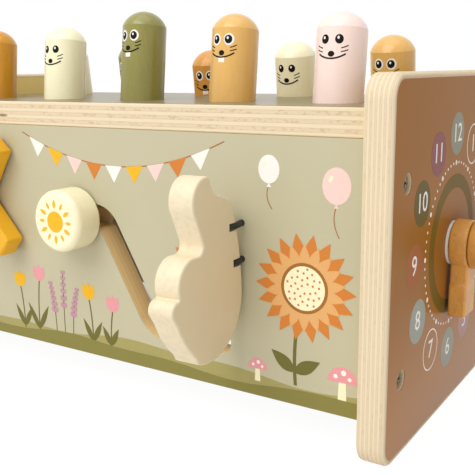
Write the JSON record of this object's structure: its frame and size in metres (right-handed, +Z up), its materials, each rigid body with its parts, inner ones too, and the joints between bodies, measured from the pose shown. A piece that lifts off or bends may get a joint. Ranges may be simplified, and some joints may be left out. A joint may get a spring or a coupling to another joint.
{
  "type": "toy pounding bench",
  "caption": "Plywood toy bench: painted pegs that push each other up through its top, a windmill, a slider and a flap on its front wall, and a turning clock on one end.",
  "frame": {"origin": "middle of the clock end panel's foot, on the floor", "axes": "+X along the bench towards the clock end, +Y to the back, +Z up"},
  "size_m": [0.3266, 0.1981, 0.1863],
  "materials": {
    "end_ply": "painted faces, bare plywood edges",
    "wall_ply": "printed face, bare plywood edges",
    "board_ply": "painted top, bare plywood edges",
    "plain_wood": "bare",
    "rocker_wood": "bare plywood",
    "steel": "zinc plated",
    "peg_mustard": "matt paint",
    "peg_cream": "matt paint",
    "peg_olive": "matt paint",
    "peg_tan": "matt paint",
    "peg_pink": "matt paint",
    "peg_brown": "matt paint",
    "windmill_mustard": "matt paint",
    "pivot_wood": "bare",
    "washer_white": "matt",
    "knob_cream": "matt paint",
    "flap_cream": "matt paint, bare plywood edges",
    "cord_black": "woven elastic cord",
    "hand_ochre": "matt paint"
  },
  "bodies": {
    "bench": {"right_end_panel": "end_ply", "left_end_panel": "end_ply", "front_wall": "wall_ply", "back_wall": "wall_ply", "top_board": "board_ply", "board_dowels": "plain_wood", "right_end_screws": "steel", "left_end_screws": "steel", "rocker_axle": "steel", "rocker_spacers": "plain_wood", "windmill_pivot": "pivot_wood", "windmill_washer": "washer_white", "hinge_cords": "cord_black", "clock_washer": "washer_white", "clock_pivot": "pivot_wood"},
    "windmill": {"windmill": "windmill_mustard"},
    "slider": {"slider_sleeve": "plain_wood", "slider_retainer": "plain_wood"},
    "knob": {"slider_knob": "knob_cream", "slider_screw": "steel"},
    "flap": {"flap": "flap_cream"},
    "hour_hand": {"hour_hand": "hand_ochre"},
    "minute_hand": {"minute_hand": "hand_ochre"},
    "rocker_1": {"rocker_1": "rocker_wood"},
    "front_peg_1": {"front_peg_1": "peg_mustard", "front_pin_1": "plain_wood"},
    "back_peg_1": {"back_peg_1": "peg_cream", "back_pin_1": "plain_wood"},
    "rocker_2": {"rocker_2": "rocker_wood"},
    "front_peg_2": {"front_peg_2": "peg_cream", "front_pin_2": "plain_wood"},
    "back_peg_2": {"back_peg_2": "peg_olive", "back_pin_2": "plain_wood"},
    "rocker_3": {"rocker_3": "rocker_wood"},
    "front_peg_3": {"front_peg_3": "peg_olive", "front_pin_3": "plain_wood"},
    "back_peg_3": {"back_peg_3": "peg_brown", "back_pin_3": "plain_wood"},
    "rocker_4": {"rocker_4": "rocker_wood"},
    "front_peg_4": {"front_peg_4": "peg_tan", "front_pin_4": "plain_wood"},
    "back_peg_4": {"back_peg_4": "peg_cream", "back_pin_4": "plain_wood"},
    "rocker_5": {"rocker_5": "rocker_wood"},
    "front_peg_5": {"front_peg_5": "peg_pink", "front_pin_5": "plain_wood"},
    "back_peg_5": {"back_peg_5": "peg_tan", "back_pin_5": "plain_wood"}
  },
  "joints": [
    {"name": "rocker_1_tilt", "type": "hinge", "parent": "bench", "child": "rocker_1", "pos_m": [-0.255, 0, 0.10918], "axis": [-1, 0, 0], "range_deg": [-23.61, 12.59]},
    {"name": "front_peg_1_slide", "type": "slide", "parent": "bench", "child": "front_peg_1", "axis": [0, 0.1132, 0.9936], "range_m": [-0.01505, 0.00805]},
    {"name": "back_peg_1_slide", "type": "slide", "parent": "bench", "child": "back_peg_1", "axis": [0, -0.1132, 0.9936], "range_m": [-0.00805, 0.01505]},
    {"name": "rocker_2_tilt", "type": "hinge", "parent": "bench", "child": "rocker_2", "pos_m": [-0.2005, 0, 0.10918], "axis": [-1, 0, 0], "range_deg": [-23.61, 12.59]},
    {"name": "front_peg_2_slide", "type": "slide", "parent": "bench", "child": "front_peg_2", "axis": [0, 0.1132, 0.9936], "range_m": [-0.01505, 0.00805]},
    {"name": "back_peg_2_slide", "type": "slide", "parent": "bench", "child": "back_peg_2", "axis": [0, -0.1132, 0.9936], "range_m": [-0.00805, 0.01505]},
    {"name": "rocker_3_tilt", "type": "hinge", "parent": "bench", "child": "rocker_3", "pos_m": [-0.146, 0, 0.10918], "axis": [-1, 0, 0], "range_deg": [-32.27, 3.94]},
    {"name": "front_peg_3_slide", "type": "slide", "parent": "bench", "child": "front_peg_3", "axis": [0, 0.1132, 0.9936], "range_m": [-0.02055, 0.00255]},
    {"name": "back_peg_3_slide", "type": "slide", "parent": "bench", "child": "back_peg_3", "axis": [0, -0.1132, 0.9936], "range_m": [-0.00255, 0.02055]},
    {"name": "rocker_4_tilt", "type": "hinge", "parent": "bench", "child": "rocker_4", "pos_m": [-0.0915, 0, 0.10918], "axis": [-1, 0, 0], "range_deg": [-26.76, 9.44]},
    {"name": "front_peg_4_slide", "type": "slide", "parent": "bench", "child": "front_peg_4", "axis": [0, 0.1132, 0.9936], "range_m": [-0.01705, 0.00605]},
    {"name": "back_peg_4_slide", "type": "slide", "parent": "bench", "child": "back_peg_4", "axis": [0, -0.1132, 0.9936], "range_m": [-0.00605, 0.01705]},
    {"name": "rocker_5_tilt", "type": "hinge", "parent": "bench", "child": "rocker_5", "pos_m": [-0.037, 0, 0.10918], "axis": [-1, 0, 0], "range_deg": [-24.39, 11.8]},
    {"name": "front_peg_5_slide", "type": "slide", "parent": "bench", "child": "front_peg_5", "axis": [0, 0.1132, 0.9936], "range_m": [-0.01555, 0.00755]},
    {"name": "back_peg_5_slide", "type": "slide", "parent": "bench", "child": "back_peg_5", "axis": [0, -0.1132, 0.9936], "range_m": [-0.00755, 0.01555]},
    {"name": "windmill_spin", "type": "hinge", "parent": "bench", "child": "windmill", "pos_m": [-0.234, -0.066, 0.092], "axis": [0, -1, 0], "continuous": true},
    {"name": "slider_bend", "type": "hinge", "parent": "bench", "child": "slider", "pos_m": [-0.155, -0.066, 0.07], "axis": [0, 1, 0], "range_deg": [0, 105]},
    {"name": "knob_spin", "type": "hinge", "parent": "slider", "child": "knob", "pos_m": [-0.1617, -0.066, 0.0867], "axis": [0, -1, 0], "continuous": true},
    {"name": "flap_swing", "type": "hinge", "parent": "bench", "child": "flap", "pos_m": [-0.0655, -0.068, 0.078], "axis": [0, 0, 1], "range_deg": [-12, 88]},
    {"name": "hour_hand_turn", "type": "hinge", "parent": "bench", "child": "hour_hand", "pos_m": [0.006, 0, 0.0795], "axis": [1, 0, 0], "continuous": true},
    {"name": "minute_hand_turn", "type": "hinge", "parent": "bench", "child": "minute_hand", "pos_m": [0.006, 0, 0.0795], "axis": [1, 0, 0], "continuous": true}
  ],
  "couplings": [
    {"joint": "front_peg_1_slide", "follows": "rocker_1_tilt", "m_per_rad": 0.036404},
    {"joint": "back_peg_1_slide", "follows": "rocker_1_tilt", "m_per_rad": -0.036404},
    {"joint": "front_peg_2_slide", "follows": "rocker_2_tilt", "m_per_rad": 0.036404},
    {"joint": "back_peg_2_slide", "follows": "rocker_2_tilt", "m_per_rad": -0.036404},
    {"joint": "front_peg_3_slide", "follows": "rocker_3_tilt", "m_per_rad": 0.036404},
    {"joint": "back_peg_3_slide", "follows": "rocker_3_tilt", "m_per_rad": -0.036404},
    {"joint": "front_peg_4_slide", "follows": "rocker_4_tilt", "m_per_rad": 0.036404},
    {"joint": "back_peg_4_slide", "follows": "rocker_4_tilt", "m_per_rad": -0.036404},
    {"joint": "front_peg_5_slide", "follows": "rocker_5_tilt", "m_per_rad": 0.036404},
    {"joint": "back_peg_5_slide", "follows": "rocker_5_tilt", "m_per_rad": -0.036404}
  ]
}
